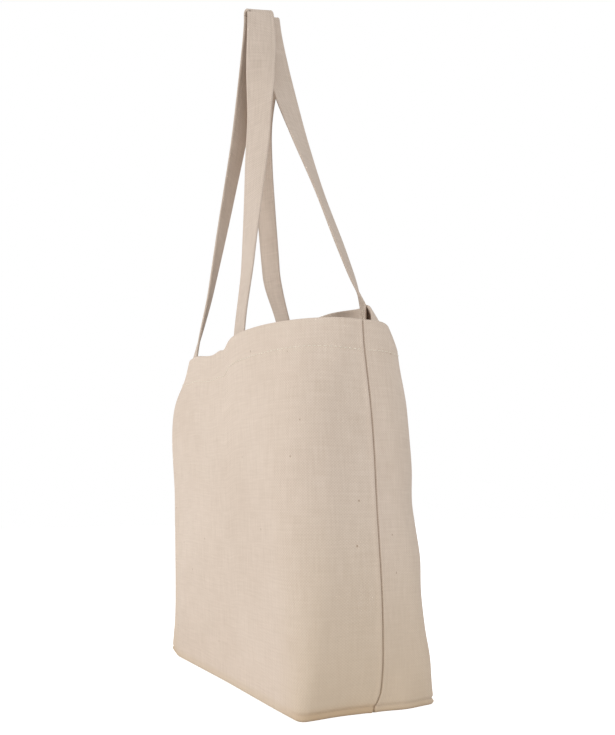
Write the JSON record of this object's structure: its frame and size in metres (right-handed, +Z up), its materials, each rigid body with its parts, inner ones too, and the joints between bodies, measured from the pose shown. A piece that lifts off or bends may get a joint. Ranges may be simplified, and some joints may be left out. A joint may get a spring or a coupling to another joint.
{
  "type": "tote bag",
  "caption": "Open canvas tote bag with a boxed base, a turned-in hem and flat cloth handles that swing up or down from the rim.",
  "frame": {"origin": "middle of the base's underside", "axes": "+Z up towards the rim and handles, +X towards the right side seam, -Y towards the front panel"},
  "size_m": [0.369, 0.149, 0.7329],
  "materials": {
    "canvas": "matte unbleached cotton canvas",
    "strap": "matte unbleached cotton canvas, folded",
    "thread": "cream cotton thread"
  },
  "bodies": {
    "bag": {"front_panel": "canvas", "back_panel": "canvas", "front_hem_thread": "thread", "back_hem_thread": "thread", "right_seam_thread": "thread", "left_seam_thread": "thread", "base_seam_thread": "thread", "right_corner_thread": "thread", "left_corner_thread": "thread", "front_right_end": "strap", "front_left_end": "strap", "back_right_end": "strap", "back_left_end": "strap", "front_right_end_thread": "thread", "front_left_end_thread": "thread", "back_right_end_thread": "thread", "back_left_end_thread": "thread"},
    "front_handle": {"front_handle": "strap"},
    "back_handle": {"back_handle": "strap"}
  },
  "joints": [
    {"name": "front_handle_swing", "type": "hinge", "parent": "bag", "child": "front_handle", "pos_m": [0, -0.0728, 0.3568], "axis": [1, 0, 0], "range_deg": [0, 155]},
    {"name": "back_handle_swing", "type": "hinge", "parent": "bag", "child": "back_handle", "pos_m": [0, 0.0728, 0.3568], "axis": [-1, 0, 0], "range_deg": [0, 155]}
  ]
}
